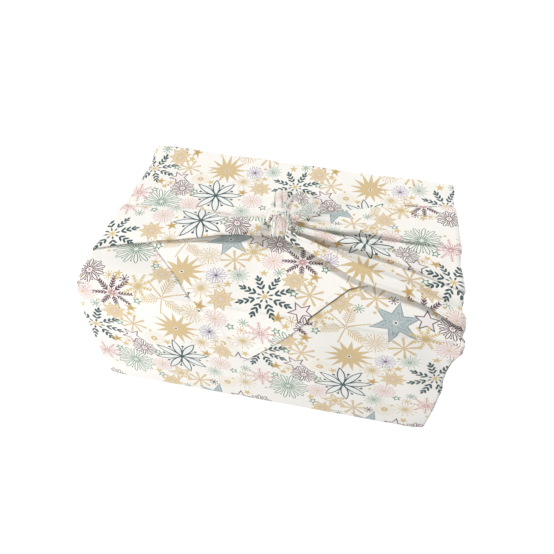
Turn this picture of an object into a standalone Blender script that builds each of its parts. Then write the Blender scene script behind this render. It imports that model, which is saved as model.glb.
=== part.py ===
"""A furoshiki wrap: a 70 cm square of cotton folded round a shoe-box-sized parcel and tied on top.

The cloth lies with its corners to the front, back and sides. The front corner goes up the front wall and
over the top, the back corner goes over it and hangs down the front, and the two side corners come up the
ends, over the top, and meet in one knot. What is wrapped is not modelled, so the cloth stands hollow.
Tables are in millimetres with "front" distances counted from the front wall; everything else is in metres.
"""

import math

import bmesh
import bpy
import numpy as np

MM = 0.001

# The wrapped parcel, outside the cloth.
LONG = 316 * MM
DEEP = 198 * MM
TALL = 132 * MM
HALF_DIAGONAL = 700 * MM / math.sqrt(2)  # of the square cloth, from its middle to a corner
TUCKED_DOWN = 62 * MM  # how far the first corner goes down inside the back wall
HANGING = 66 * MM  # how far the last corner hangs down the front wall

# One layer of cloth, and the step from one layer's middle to the next.
THICK = 1.2 * MM
STEP = 1.6 * MM
LAP = 6 * MM  # how far two pieces of the same cloth overlap where they are fused
LAP_SHIFT = 0.25 * MM  # keeps lapped faces from lying in one plane
EDGE_RADIUS = 3 * MM
ARC_STEPS = 4

# How far the cloth strays from the parcel's flat sides.
WAVE = 0.5 * MM
SAG = 1.0 * MM
BULGE = 0.006  # a share of the distance from the middle

# Middles of the layers.
FRONT = -DEEP / 2 + THICK / 2
BACK = -FRONT
FLOOR = THICK / 2
TOP = TALL - THICK / 2
END_TURN = LONG / 2 - THICK / 2 - 2 * STEP  # the flap's side turned down over the end
END_GUSSET = END_TURN - STEP
FLAT_HALF = END_GUSSET - EDGE_RADIUS

GUSSETS_APART = 24 * MM  # between the two gussets of an end, under the tail
TUCK = 14 * MM  # how wide the side edges of a tail are folded under
TUCK_LEFT = 0.2  # the share of it that is left at the foot of the end
FOOT_IN = 7 * MM  # how far in from the parcel's walls a tail's edges reach the floor

# Each flap is wider than the parcel near its wall, so its side hangs over the end there: a fold comes down
# from the parcel's corner at 45 degrees, and the cloth's hem goes up again at 45 degrees.
FLAP_SIDE = (
    # from the wall, hanging down
    (7, 5.5),
    (20, 19.0),
    (37, 36.0),
    (54, 53.0),
    (72, 36.0),
    (89, 19.0),
    (103, 5.5),
)

# The corner that goes over last: how far its two hems are from the middle line, by the distance from the
# front top edge. A distance below zero is down the front wall.
FLAP_HEMS = (
    # from front edge, left hem, right hem
    (198, -155, 155),
    (104, -155, 155),
    (90, -143, 139),
    (50, -102, 92),
    (45, -97, 78),
    (42, -94, 68),
    (38, -90, 62),
    (20, -73, 50),
    (0, -54, 37),
    (-20, -46, 24),
    (-45, -32, 3),
    (-66, -19, -15),
)
# The left tail is a flat band of folded cloth. A row for each place along it, from the knot outwards.
BAND = (
    # from middle, front edge, back edge, crown, front edge raised
    (10, 85, 109, 9.0, 3.0),
    (30, 80, 109, 9.0, 4.0),
    (48, 77, 109, 7.0, 4.5),
    (70, 71, 109, 4.0, 3.0),
    (103, 60, 107, 2.5, 1.5),
    (132, 50, 103, 1.5, 0.8),
    (150, 42, 100, 1.0, 0.4),
)
BAND_AT_EDGE = (40, 99)
BAND_BETWEEN = (20, 39, 59, 80, 92, 118, 141)  # more places where the band has an edge line

# The right tail is a fan of pleats. A row for each fold from the back hem to the rolled front edge: its
# height as a share of the relief, and its distance from the front at five places along and at the foot.
FAN_PLACES = (4, 40, 80, 115, 150)
FAN_RELIEF = (11.0, 8.0, 6.5, 5.0, 2.5)
FAN_BETWEEN = (14, 26, 60, 98, 132)
FAN_FOLDS = (
    # name, height, at the knot, at 40, at 80, at 115, at the edge, at the foot
    ("hem turned under", 0.00, 108, 120, 134, 144, 152, 188),
    ("hem", 0.12, 114, 131, 147, 157, 163, 192),
    ("panel behind", 0.35, 111.5, 127, 141, 150, 156, 184),
    ("panel belly", 0.30, 107, 115, 125, 130, 133, 162),
    ("ridge b", 1.00, 103, 103, 108, 108, 107, 130),
    ("slope b", 0.62, 101, 99.5, 102.5, 101.5, 101, 124),
    ("valley b", 0.22, 99, 96.5, 94.5, 92, 88, 110),
    ("ridge c", 1.05, 97, 91.5, 83, 74, 60, 90),
    ("slope c", 0.70, 95, 86.5, 76.5, 66.5, 53, 78),
    ("valley c", 0.25, 93, 80.5, 65, 53, 39, 56),
    ("ridge d", 1.05, 89, 73, 55, 44, 28, 34),
    ("rolled edge", 0.85, 84, 65, 45, 35, 18, 8),
    ("rolled under", 0.00, 90, 74, 57, 46, 32, 16),
)
# The knot: a round lump of many layers, the strand that crosses it, and two short free tips lying back.
KNOT_AT = (-1.5 * MM, 95.5, 10.5 * MM)  # x, distance from the front, height over the top
KNOT_HALF = (9.5 * MM, 11.0 * MM, 12.0 * MM)
STRAND_AT = (-3.0 * MM, 96, 17.5 * MM)
STRAND_HALF = (11.5 * MM, 7.0 * MM, 6.0 * MM)
STRAND_TURN = math.radians(-33)
LUMP_AROUND = 16
LUMP_RINGS = 9
TIPS = {
    # x, distance from the front, height over the top: across the tip, in rows from its root to its point
    "tip behind": (
        ((-6, 102, 12), (-4, 102, 18), (-2, 102, 15), (0, 102, 18), (2, 102, 12)),
        ((-8, 114, 8), (-6, 115, 14), (-4, 115, 11), (-1, 115, 14), (2, 114, 8)),
        ((-11, 127, 5), (-9, 128, 11), (-6, 128, 8), (-4, 128, 10), (-1, 127, 5)),
        ((-14, 140, 4), (-12, 141, 8), (-10, 141, 6), (-7, 141, 8), (-4, 139, 4)),
        ((-14, 150, 4), (-13, 151, 5), (-11, 151.5, 4.5), (-9, 151, 5), (-7, 149, 4)),
    ),
    "tip beside": (
        ((1, 102, 12), (3, 102, 16), (4, 101, 16.5), (6, 99, 15), (7, 97, 11)),
        ((0, 115, 9), (4, 115, 13), (8, 112, 12), (11, 110, 12), (14, 107, 8)),
        ((-1, 129, 6), (5, 128, 9), (10, 126, 8), (15, 121, 9), (19, 116, 5)),
        ((-2, 143, 4), (5, 143, 6), (11, 140, 5), (17, 136, 6), (22, 131, 4)),
        ((-1, 154, 3.5), (4, 155, 5), (9, 155, 4), (15, 153, 5), (20, 148, 4)),
    ),
}

# The printed cotton, seen from far off.
COTTON = (0.83, 0.80, 0.74, 1.0)
COTTON_ROUGHNESS = 0.9


def through(xs, ys, at):
    """Reads a smooth curve through the points (xs, ys), one with no overshoot, at each value of at."""
    order = np.argsort(xs)
    xs = np.asarray(xs, float)[order]
    ys = np.asarray(ys, float)[order]
    gaps = np.diff(xs)
    slopes = np.diff(ys) / gaps
    tangents = np.concatenate([slopes[:1], np.zeros(len(xs) - 2), slopes[-1:]])
    for i in range(1, len(xs) - 1):
        if slopes[i - 1] * slopes[i] > 0:
            tangents[i] = 2 / (1 / slopes[i - 1] + 1 / slopes[i])
    at = np.clip(at, xs[0], xs[-1])
    i = np.clip(np.searchsorted(xs, at) - 1, 0, len(xs) - 2)
    t = (at - xs[i]) / gaps[i]
    start = (2 * t**3 - 3 * t**2 + 1) * ys[i] + (t**3 - 2 * t**2 + t) * gaps[i] * tangents[i]
    end = (3 * t**2 - 2 * t**3) * ys[i + 1] + (t**3 - t**2) * gaps[i] * tangents[i + 1]
    return start + end


def spline(points, steps):
    """A Catmull-Rom curve through points, with that many steps from each to the next."""
    points = np.asarray(points, float)
    padded = np.concatenate([[2 * points[0] - points[1]], points, [2 * points[-1] - points[-2]]])
    found = []
    for i in range(1, len(padded) - 2):
        before, a, b, after = padded[i - 1 : i + 3]
        for t in np.arange(steps) / steps:
            found.append(
                a
                + 0.5 * t * (b - before)
                + t**2 * (before - 2.5 * a + 2 * b - 0.5 * after)
                + t**3 * (1.5 * (a - b) + 0.5 * (after - before))
            )
    return np.array(found + [points[-1]])


class Path:
    """A line of straight runs with round corners in one plane, read by the distance along it."""

    def __init__(self, corners, radius, steps=ARC_STEPS):
        corners = [np.array(c, float) for c in corners]
        points, arcs = [corners[0]], []
        for before, here, after in zip(corners, corners[1:], corners[2:]):
            back = (before - here) / np.linalg.norm(before - here)
            on = (after - here) / np.linalg.norm(after - here)
            centre = here + radius * (back + on)
            angles = np.linspace(0, math.pi / 2, steps + 1)
            arc = [centre - radius * (on * math.cos(a) + back * math.sin(a)) for a in angles]
            arcs.append((len(points), len(points) + len(arc) - 1))
            points += arc
        points.append(corners[-1])
        self.points = np.array(points)
        lengths = np.linalg.norm(np.diff(self.points, axis=0), axis=1)
        self.along = np.concatenate([[0], np.cumsum(lengths)])
        self.corner_at = [(self.along[a] + self.along[b]) / 2 for a, b in arcs]
        self.arc_rows = np.concatenate([self.along[a : b + 1] for a, b in arcs])

    def at(self, distance, lift=0.0):
        """The point at a distance along the path, moved by lift to the path's right-hand side."""

        def point(at):
            return np.array([np.interp(at, self.along, self.points[:, k]) for k in (0, 1)])

        near = 0.4 * MM
        ahead = min(distance + near, self.along[-1])
        behind = max(distance - near, 0.0)
        way = point(ahead) - point(behind)
        way /= np.linalg.norm(way)
        return point(distance) + lift * np.array([way[1], -way[0]])


def spaced(places, apart, last):
    """Places in order, up to the last, without those that follow another too closely."""
    kept = []
    for place in sorted(min(float(p), last) for p in places):
        if not kept or place - kept[-1] > apart:
            kept.append(place)
    return kept


def mesh_object(name, points, faces):
    """A named object that holds a closed mesh, its faces turned outwards."""
    points = np.asarray(points, float)
    a, b, c = (points[[f[k] for f in faces]] for k in (0, 1, 2))
    d = points[[f[-1] for f in faces]]
    volume = (a * np.cross(b, c)).sum() + (a * np.cross(c, d)).sum()
    if volume < 0:
        faces = [f[::-1] for f in faces]
    mesh = bpy.data.meshes.new(name)
    mesh.from_pydata(points.tolist(), [], faces)
    mesh.validate()
    piece = bpy.data.objects.new(name, mesh)
    bpy.context.scene.collection.objects.link(piece)
    return piece


def sheet(name, grid, thick=THICK):
    """Cloth of that thickness, half of it on each side of a grid of points."""
    grid = np.asarray(grid, float)
    rows, columns = grid.shape[:2]
    along = np.gradient(grid, axis=0)
    across = np.gradient(grid, axis=1)
    normal = np.cross(along, across)
    normal /= np.maximum(np.linalg.norm(normal, axis=2, keepdims=True), 1e-12)
    upper = (grid + normal * thick / 2).reshape(-1, 3)
    lower = (grid - normal * thick / 2).reshape(-1, 3)
    index = np.arange(rows * columns).reshape(rows, columns)
    other = index + rows * columns
    faces = []
    for i in range(rows - 1):
        for j in range(columns - 1):
            faces.append([index[i, j], index[i + 1, j], index[i + 1, j + 1], index[i, j + 1]])
            faces.append([other[i, j], other[i, j + 1], other[i + 1, j + 1], other[i + 1, j]])
    rim = np.concatenate([index[0], index[1:, -1], index[-1, -2::-1], index[-2:0:-1, 0]])
    for here, following in zip(rim, np.roll(rim, -1)):
        faces.append([here, following, following + rows * columns, here + rows * columns])
    return mesh_object(name, np.concatenate([upper, lower]), [[int(k) for k in f] for f in faces])


def lump(name, centre, halves, turn=0.0, squareness=0.75):
    """A round-cornered lump of packed layers, closed at both poles."""
    points, faces = [], []
    for ring in range(1, LUMP_RINGS):
        polar = math.pi * ring / LUMP_RINGS
        for k in range(LUMP_AROUND):
            angle = 2 * math.pi * k / LUMP_AROUND
            unit = (
                math.sin(polar) * math.cos(angle),
                math.sin(polar) * math.sin(angle),
                math.cos(polar),
            )
            soft = [math.copysign(abs(u) ** squareness, u) for u in unit]
            x, y, z = (s * h for s, h in zip(soft, halves))
            points.append(
                (
                    centre[0] + x * math.cos(turn) - y * math.sin(turn),
                    centre[1] + x * math.sin(turn) + y * math.cos(turn),
                    centre[2] + z,
                )
            )
    for ring in range(LUMP_RINGS - 2):
        for k in range(LUMP_AROUND):
            following = (k + 1) % LUMP_AROUND
            a, b = ring * LUMP_AROUND, (ring + 1) * LUMP_AROUND
            faces.append([a + k, b + k, b + following, a + following])
    top, bottom = len(points), len(points) + 1
    points.append((centre[0], centre[1], centre[2] + halves[2]))
    points.append((centre[0], centre[1], centre[2] - halves[2]))
    last = (LUMP_RINGS - 2) * LUMP_AROUND
    for k in range(LUMP_AROUND):
        following = (k + 1) % LUMP_AROUND
        faces.append([top, k, following])
        faces.append([bottom, last + following, last + k])
    return mesh_object(name, points, faces)


def from_front(distance):
    """The y of a distance in millimetres from the front wall."""
    return -DEEP / 2 + distance * MM


# ---------------------------------------------------------------- front-to-back cloth

ROUND_PARCEL = Path(
    [
        (BACK - STEP, TOP - STEP - TUCKED_DOWN),
        (BACK - STEP, TOP - STEP),
        (FRONT, TOP - STEP),
        (FRONT, FLOOR),
        (BACK, FLOOR),
        (BACK, TOP),
        (FRONT - STEP, TOP),
        (FRONT - STEP, TOP - HANGING),
    ],
    EDGE_RADIUS,
)


def over_hems(distance):
    """The left and right hem of the last corner at a distance from the front top edge."""
    places = [row[0] * MM for row in FLAP_HEMS][::-1]
    return [np.interp(distance, places, [row[k] * MM for row in FLAP_HEMS][::-1]) for k in (1, 2)]


def under_hems(distance):
    """The same for the first corner, whose hems run at 45 degrees to the cloth's corner."""
    half = max(HALF_DIAGONAL - DEEP / 2 - TALL - distance, 4 * MM)
    return [-half, half]


def wrapped_cloth():
    """The cloth from the tip tucked in behind, over the top, round below and over the top again."""
    front_under = ROUND_PARCEL.corner_at[1]
    back_over, front_over = ROUND_PARCEL.corner_at[4:6]
    leaves_end = HALF_DIAGONAL - DEEP / 2 - TALL - LONG / 2
    rows = {*ROUND_PARCEL.arc_rows, 0.0, ROUND_PARCEL.along[-1], front_under - leaves_end}
    rows |= {front_over - row[0] * MM for row in FLAP_HEMS[1:]}
    grid = []
    for distance in spaced(rows, 0.5 * MM, ROUND_PARCEL.along[-1]):
        y, z = ROUND_PARCEL.at(distance)
        wide = FLAT_HALF + THICK
        left, right = -wide, wide
        if distance < front_under:
            hems = under_hems(front_under - distance)
            left, right = max(left, hems[0]), min(right, hems[1])
        if distance > back_over:
            hems = over_hems(front_over - distance)
            left, right = max(left, hems[0]), min(right, hems[1])
        grid.append([(x, y, z) for x in np.linspace(left, right, 7)])
    return sheet("wrapped_cloth", grid)


def corner_gusset(side, face):
    """The wall's cloth round one upright corner and on across the end, under the tail."""
    axis_y = BACK - EDGE_RADIUS
    grid = []
    rows = []
    for tilt in np.linspace(90, 0, ARC_STEPS + 1)[1:]:
        rows.append((math.radians(tilt), FLOOR + EDGE_RADIUS, -1))
    low, high = FLOOR + EDGE_RADIUS, TOP - STEP - EDGE_RADIUS
    for z in np.linspace(low, high, 6)[1:]:
        rows.append((0.0, z, 1))
    for tilt in np.linspace(0, 90, ARC_STEPS + 1)[1:-1]:
        rows.append((math.radians(tilt), high, 1))
    for tilt, z, way in rows:
        reach = EDGE_RADIUS * math.cos(tilt) - LAP_SHIFT
        height = z + way * (EDGE_RADIUS - LAP_SHIFT) * math.sin(tilt)
        across = 0.0
        if tilt == 0.0:
            across = min(height - low, axis_y - GUSSETS_APART / 2)
        line = [(FLAT_HALF - LAP, axis_y + reach)]
        for angle in np.linspace(0, math.pi / 2, ARC_STEPS + 1):
            line.append((FLAT_HALF + reach * math.sin(angle), axis_y + reach * math.cos(angle)))
        for share in (0.33, 0.66, 1.0):
            line.append((FLAT_HALF + reach, axis_y - share * max(across, 1.5 * MM)))
        grid.append([(side * x, face * y, height) for x, y in line])
    return sheet(f"gusset_{side}_{face}", grid)


def flap_side(side, wall, rows, height):
    """A flap's side, hanging over the end. The wall is 1 for the flap from the back, -1 for the one in front."""
    grid = []
    for from_wall, hanging in rows:
        line = [(FLAT_HALF - LAP, height - LAP_SHIFT)]
        radius = END_TURN - FLAT_HALF
        turned = min(1.0, hanging * MM / radius) * math.pi / 2
        for angle in np.linspace(0, turned, ARC_STEPS + 1):
            x = FLAT_HALF + radius * math.sin(angle)
            line.append((x, height - LAP_SHIFT - radius * (1 - math.cos(angle))))
        x, z = line[-1]
        line += [(x, z - share * max(hanging * MM - radius, 0.6 * MM)) for share in (0.5, 1.0)]
        grid.append([(side * x, wall * (DEEP / 2 - from_wall * MM), z) for x, z in line])
    return sheet(f"side_{side}_{wall}", grid)


# ---------------------------------------------------------------- side-to-side cloth

OVER_END = Path(
    [
        (0, TOP),
        (END_TURN, TOP),
        (END_TURN, FLOOR + LAP_SHIFT + 2 * STEP),
        (FLAT_HALF - LAP, FLOOR + LAP_SHIFT + 2 * STEP),
    ],
    EDGE_RADIUS,
)
EDGE_AT, FOOT_AT = OVER_END.corner_at
END_RUN = OVER_END.along[-1]


def tail_rows(places):
    """Distances along a tail, from the knot over the edge and down to the lap under the floor."""
    down = np.linspace(EDGE_AT, FOOT_AT, 7)[1:-1]
    return spaced({*(p * MM for p in places), *OVER_END.arc_rows, *down, END_RUN}, 1.0 * MM, END_RUN)


def down_share(distance):
    """0 on the top, growing to 1 at the foot of the end."""
    return float(np.clip((distance - EDGE_AT) / (FOOT_AT - EDGE_AT), 0, 1))


def tail_grid(section, rows, side):
    grid = []
    for distance in rows:
        line = []
        for front, lift in section(distance):
            x, z = OVER_END.at(distance, -lift)
            line.append((side * x, from_front(front), z))
        grid.append(line)
    return grid


def turned_edge(edge, inward, low, high):
    """Points round an edge that is turned under, from the layer below to the layer above."""
    rise = (high - low) / 2
    depth = max(rise, STEP / 2) / MM
    found = []
    for angle in np.linspace(-math.pi / 2, math.pi / 2, ARC_STEPS + 1):
        found.append(
            (edge + inward * depth * (1 - math.cos(angle)), low + rise * (1 + math.sin(angle)))
        )
    return found


def folded_section(front_under, front_edge, panel, back_edge, back_under):
    """A tail across: turned under in front, a smooth panel over it, turned under behind."""
    front_edge = turned_edge(front_edge[0], 1, *front_edge[1:])
    back_edge = turned_edge(back_edge[0], -1, *back_edge[1:])[::-1]
    over = spline([front_edge[-1], *panel, back_edge[0]], 2)
    return [front_under, *front_edge[:-1], *over, *back_edge[1:], back_under]


def band_section(distance):
    """The left tail across: turned under at both edges, crowned between."""
    share = down_share(distance)
    places = [row[0] for row in BAND]
    front, back, crown, raised = (
        float(through(places, [row[k] for row in BAND], distance / MM)) for k in (1, 2, 3, 4)
    )
    if distance > EDGE_AT - 4 * MM:
        front = BAND_AT_EDGE[0] * (1 - share) + FOOT_IN / MM * share
        back = BAND_AT_EDGE[1] * (1 - share) + (DEEP - FOOT_IN) / MM * share
    crown, raised = crown * MM * (1 - share), raised * MM * (1 - share)
    tuck = TUCK / MM * (1 - (1 - TUCK_LEFT) * share)
    middle = (front + back) / 2
    quarter = (back - front) / 4
    return folded_section(
        (front + tuck, STEP + 0.3 * raised),
        (front, STEP + 0.7 * raised, 2 * STEP + raised),
        [
            (middle - quarter, 2 * STEP + 0.5 * raised + 0.75 * crown),
            (middle, 2 * STEP + 0.25 * raised + crown),
            (middle + quarter, 2 * STEP + 0.75 * crown),
        ],
        (back, STEP, 2 * STEP + 0.1 * crown),
        (back - tuck, STEP),
    )


def fan_section(distance):
    """The right tail across: pleats between the rolled edge in front and the hem behind."""
    share = down_share(distance)
    relief = float(through(FAN_PLACES, FAN_RELIEF, distance / MM)) * MM * (1 - share) ** 1.5
    folds = {}
    for name, height, *fronts in FAN_FOLDS:
        front = float(through(FAN_PLACES, fronts[:-1], distance / MM))
        front = front * (1 - share) + fronts[-1] * share
        folds[name] = (front, height * relief)
    panel = [
        (front, 2 * STEP + rise)
        for name, (front, rise) in folds.items()
        if name not in ("hem turned under", "hem", "rolled edge", "rolled under")
    ]
    rolled, hem = folds["rolled edge"], folds["hem"]
    return folded_section(
        (folds["rolled under"][0], STEP),
        (rolled[0], STEP, 2 * STEP + rolled[1]),
        panel[::-1],
        (hem[0], STEP, 2 * STEP + hem[1]),
        (folds["hem turned under"][0], STEP),
    )


# ---------------------------------------------------------------- knot


def free_tip(name, rows):
    """A short corner of the cloth past the knot, with a soft ridge along it."""
    grid = []
    for row in rows:
        line = spline([(x * MM, from_front(front), TOP + lift * MM) for x, front, lift in row], 2)
        grid.append(line)
    smooth = [spline(np.array(grid)[:, k], 2) for k in range(len(grid[0]))]
    return sheet(name, np.array(smooth).transpose(1, 0, 2))


def uneven(place):
    """Moves a point as soft cloth over a parcel lies: a little proud here and slack there, flat below."""
    x, y, z = place
    up = min(max((z - 10 * MM) / (TALL - 10 * MM), 0.0), 1.0)
    wave = math.sin(x / (31 * MM) + 1.0) * math.cos(y / (37 * MM) + x / (90 * MM))
    sag = (1 - (2 * x / LONG) ** 2) * (1 - (2 * y / DEEP) ** 2)
    lean = math.sin(math.pi * up)
    return (
        x * (1 + BULGE * lean * math.cos(y / (40 * MM))),
        y * (1 + BULGE * lean * (1 + math.cos(x / (45 * MM) + 0.8))),
        z + up**2 * (WAVE * wave - SAG * sag),
    )


def finished(piece):
    """Applies the modifiers, drops the crumbs that the union leaves, and gives the cloth its unevenness."""
    graph = bpy.context.evaluated_depsgraph_get()
    fused = bpy.data.meshes.new_from_object(piece.evaluated_get(graph))
    piece.modifiers.clear()
    piece.data = fused
    shape = bmesh.new()
    shape.from_mesh(fused)
    todo, islands = set(shape.verts), []
    while todo:
        island, reached = set(), [todo.pop()]
        while reached:
            vert = reached.pop()
            island.add(vert)
            for near in (e.other_vert(vert) for e in vert.link_edges):
                if near in todo:
                    todo.remove(near)
                    reached.append(near)
        islands.append(island)
    islands.sort(key=len)
    for island in islands[:-1]:
        bmesh.ops.delete(shape, geom=list(island), context="VERTS")
    for vert in shape.verts:
        vert.co = uneven(vert.co)
    shape.to_mesh(fused)
    shape.free()


def build():
    for old in list(bpy.data.objects):
        bpy.data.objects.remove(old)
    cloth = wrapped_cloth()
    cloth.name = cloth.data.name = "furoshiki_cloth"
    others = []
    for side in (-1, 1):
        for face in (-1, 1):
            others.append(corner_gusset(side, face))
        others.append(flap_side(side, -1, FLAP_SIDE, TOP - STEP))
        others.append(flap_side(side, 1, [row for row in FLAP_SIDE if row[0] < 93], TOP))
    band_rows = tail_rows([*(row[0] for row in BAND), *BAND_BETWEEN])
    fan_rows = tail_rows([*FAN_PLACES, *FAN_BETWEEN])
    others.append(sheet("band", tail_grid(band_section, band_rows, -1)))
    others.append(sheet("fan", tail_grid(fan_section, fan_rows, 1)))
    for name, place, halves, turn in (
        ("knot", KNOT_AT, KNOT_HALF, 0.0),
        ("strand", STRAND_AT, STRAND_HALF, STRAND_TURN),
    ):
        centre = (place[0], from_front(place[1]), TOP + place[2])
        others.append(lump(name, centre, halves, turn))
    for name, rows in TIPS.items():
        others.append(free_tip(name, rows))

    cotton = bpy.data.materials.new("printed_cotton")
    cotton.use_nodes = True
    shader = cotton.node_tree.nodes["Principled BSDF"]
    shader.inputs["Base Color"].default_value = COTTON
    shader.inputs["Roughness"].default_value = COTTON_ROUGHNESS
    shader.inputs["Metallic"].default_value = 0.0
    cloth.data.materials.append(cotton)

    for other in others:
        other.hide_render = True
        other.display_type = "WIRE"
        fuse = cloth.modifiers.new(other.name, "BOOLEAN")
        fuse.operation = "UNION"
        fuse.solver = "EXACT"
        fuse.use_self = True
        fuse.object = other
    finished(cloth)
    for other in others:
        bpy.data.objects.remove(other)


build()
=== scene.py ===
"""The looks of a furoshiki wrap: a 70 cm square of printed cotton folded round a parcel and tied on top.

The cloth is one piece, built from thin sheets that lie on the folds of the solid. Every point knows where it
lies on the flat cloth, so the print, the weave and the hems run on over each fold. Tables are in millimetres,
with "front" distances counted from the front wall. Everything else is in metres.
"""

import math
import random
from typing import Callable, NamedTuple

import bpy
import numpy as np
from mathutils import Matrix


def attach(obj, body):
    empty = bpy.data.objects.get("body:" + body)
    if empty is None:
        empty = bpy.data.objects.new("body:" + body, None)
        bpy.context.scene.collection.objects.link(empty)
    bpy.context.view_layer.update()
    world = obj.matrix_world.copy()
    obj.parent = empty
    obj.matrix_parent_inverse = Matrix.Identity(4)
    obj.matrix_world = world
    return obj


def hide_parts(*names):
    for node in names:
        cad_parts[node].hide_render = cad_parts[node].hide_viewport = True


MM = 0.001

# ---------------------------------------------------------------- sizes

LONG = 310 * MM
DEEP = 198 * MM
TALL = 132 * MM
CLOTH_SIDE = 700 * MM
HALF_DIAGONAL = CLOTH_SIDE / math.sqrt(2)
TUCKED_DOWN = 62 * MM  # how far the front corner goes down inside the back wall
HANGING = 66 * MM  # how far the back corner hangs down in front

THICK = 0.4 * MM
STEP = 0.6 * MM  # from one layer of cloth to the next
LAP = 6 * MM  # how far a piece runs on under the cloth that it joins
LAP_SHIFT = 0.12 * MM  # how far under that cloth it lies
EDGE_RADIUS = 3 * MM
ARC_STEPS = 7

FRONT = -DEEP / 2 + THICK / 2
BACK = -FRONT
FLOOR = THICK / 2
TOP = TALL - THICK / 2
END_GUSSET = LONG / 2 - THICK / 2
END_TURN = END_GUSSET + STEP
FLAT_HALF = END_GUSSET - EDGE_RADIUS

GUSSETS_APART = 24 * MM
END_LAP = 16 * MM  # how far a gusset runs on under the tail
TUCK = 14 * MM  # how much of the band is turned under at each edge
TUCK_LEFT = 0.2  # the share of it that is left at the foot
FOOT_IN = 11 * MM  # how far in from the parcel's corners the band's foot lies

HEM_WIDE = 4.6 * MM
HEM_THICK = 0.55 * MM
NO_HEM = 1.0  # a distance from the hem that is out of its reach
STITCH = 2.6 * MM
STITCH_HALF = 0.22 * MM
STITCH_IN = 0.8 * MM  # how far the seam lies inside the hem's inner edge
WEAVE = 0.55 * MM
BACK_INK = 0.3  # how much of the print shows on the inner side

FLAP_SIDE = (
    # from the wall, hanging down
    (7, 5.5),
    (20, 19.0),
    (37, 36.0),
    (54, 53.0),
    (72, 36.0),
    (89, 19.0),
    (99, 8.0),
)
FLAP_HEMS = (
    # from front edge, left hem, right hem
    (198, -155, 155),
    (104, -155, 155),
    (90, -143, 139),
    (50, -102, 92),
    (45, -97, 81),
    (42, -94, 72),
    (38, -90, 65),
    (20, -73, 51),
    (0, -56, 36.5),
    (-20, -45, 23),
    (-45, -32, 3.5),
    (-66, -19, -15),
)
BAND = (
    # from middle, front edge, back edge, crown, front edge raised
    (9, 87, 105.5, 5.0, 1.6),
    (17, 84, 107, 8.6, 3.4),
    (30, 80, 107, 9.5, 5.0),
    (46, 76.5, 107.5, 8.0, 7.0),
    (62, 72, 109, 5.5, 4.6),
    (76, 68.5, 109, 4.0, 2.8),
    (106, 59.5, 107, 2.6, 1.6),
    (134, 50, 103, 1.8, 1.0),
    (150, 42, 100, 1.2, 0.5),
)
BAND_AT_EDGE = (41, 102.5)
FAN_PLACES = (4, 40, 80, 115, 150)
FAN_RELIEF = (11.0, 8.0, 6.5, 5.0, 2.4)
FAN_FOLDS = (
    # name, height, at the knot, at 40, at 80, at 115, at the edge, at the foot
    ("hem turned under", 0.00, 112, 121, 134, 145, 152, 184),
    ("hem", 0.12, 118, 131, 147, 157, 163, 187),
    ("panel behind", 0.30, 115, 127, 141, 150, 156, 180),
    ("panel belly", 0.26, 108, 115, 126, 131, 134, 162),
    ("ridge b", 0.85, 102, 102.5, 108, 108, 108, 134),
    ("lip b", 0.62, 98.5, 99.5, 104.5, 103.5, 103, 128),
    ("under b", 0.25, 100, 102, 107, 105, 101, 124),
    ("valley b", 0.18, 96.5, 97, 94, 92, 90, 112),
    ("ridge c", 1.00, 93.5, 92, 84, 75, 61, 90),
    ("lip c", 0.75, 89.5, 86.5, 78.5, 69, 55, 82),
    ("under c", 0.30, 91.5, 89, 81.5, 70.5, 54, 78),
    ("valley c", 0.06, 88.5, 81, 67, 54.5, 40, 58),
    ("foot d", 0.16, 87.5, 77, 61, 49.5, 35, 45),
    ("ridge d", 1.05, 86.5, 73.5, 56, 45, 29, 34),
    ("rolled edge", 0.80, 83, 65, 45, 36, 18, 12),
    ("rolled under", 0.00, 88, 74, 56, 46, 30, 18),
)
TIPS = {
    # x, distance from the front, height over the top: across the tip, in rows from its root to its point
    "tip behind": (
        ((-7, 103, 10), (-4.5, 103, 17), (-2, 103, 14), (0.5, 103, 17), (3, 103, 10)),
        ((-9.5, 113, 5), (-6.5, 114, 11.5), (-4.5, 114, 8.5), (-2, 114, 11), (1, 113, 5.5)),
        ((-12.5, 126, 2.4), (-9, 127, 7.5), (-7, 127, 4.5), (-4.5, 127, 7), (-1.5, 126, 3)),
        ((-15.5, 140, 1.8), (-12, 141, 5), (-10, 141, 3), (-7.5, 141, 4.8), (-4, 140, 1.8)),
        ((-17, 152, 1.5), (-14, 153, 3), (-11.5, 153.5, 2.2), (-9.5, 153.5, 3), (-6, 152, 1.5)),
    ),
    "tip beside": (
        ((1, 104, 10), (3.5, 103, 16), (5, 100.5, 14.5), (6.5, 98, 14.5), (8, 95, 10)),
        ((-0.5, 115, 5.5), (4, 115, 11), (8, 112, 8.5), (11.5, 108, 10), (14.5, 104, 6)),
        ((-0.5, 129, 2.6), (5, 128, 7), (10, 125, 5), (15, 120, 7), (19.5, 114, 4.2)),
        ((0, 142, 1.8), (5.5, 142, 4.5), (11.5, 139.5, 3.5), (17.5, 135, 4.5), (22.5, 128.5, 2.4)),
        ((0, 152, 1.5), (5, 154, 2.8), (10.5, 154, 2.2), (16, 152, 2.8), (22, 145, 1.5)),
    ),
}

# ---------------------------------------------------------------- curves


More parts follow.
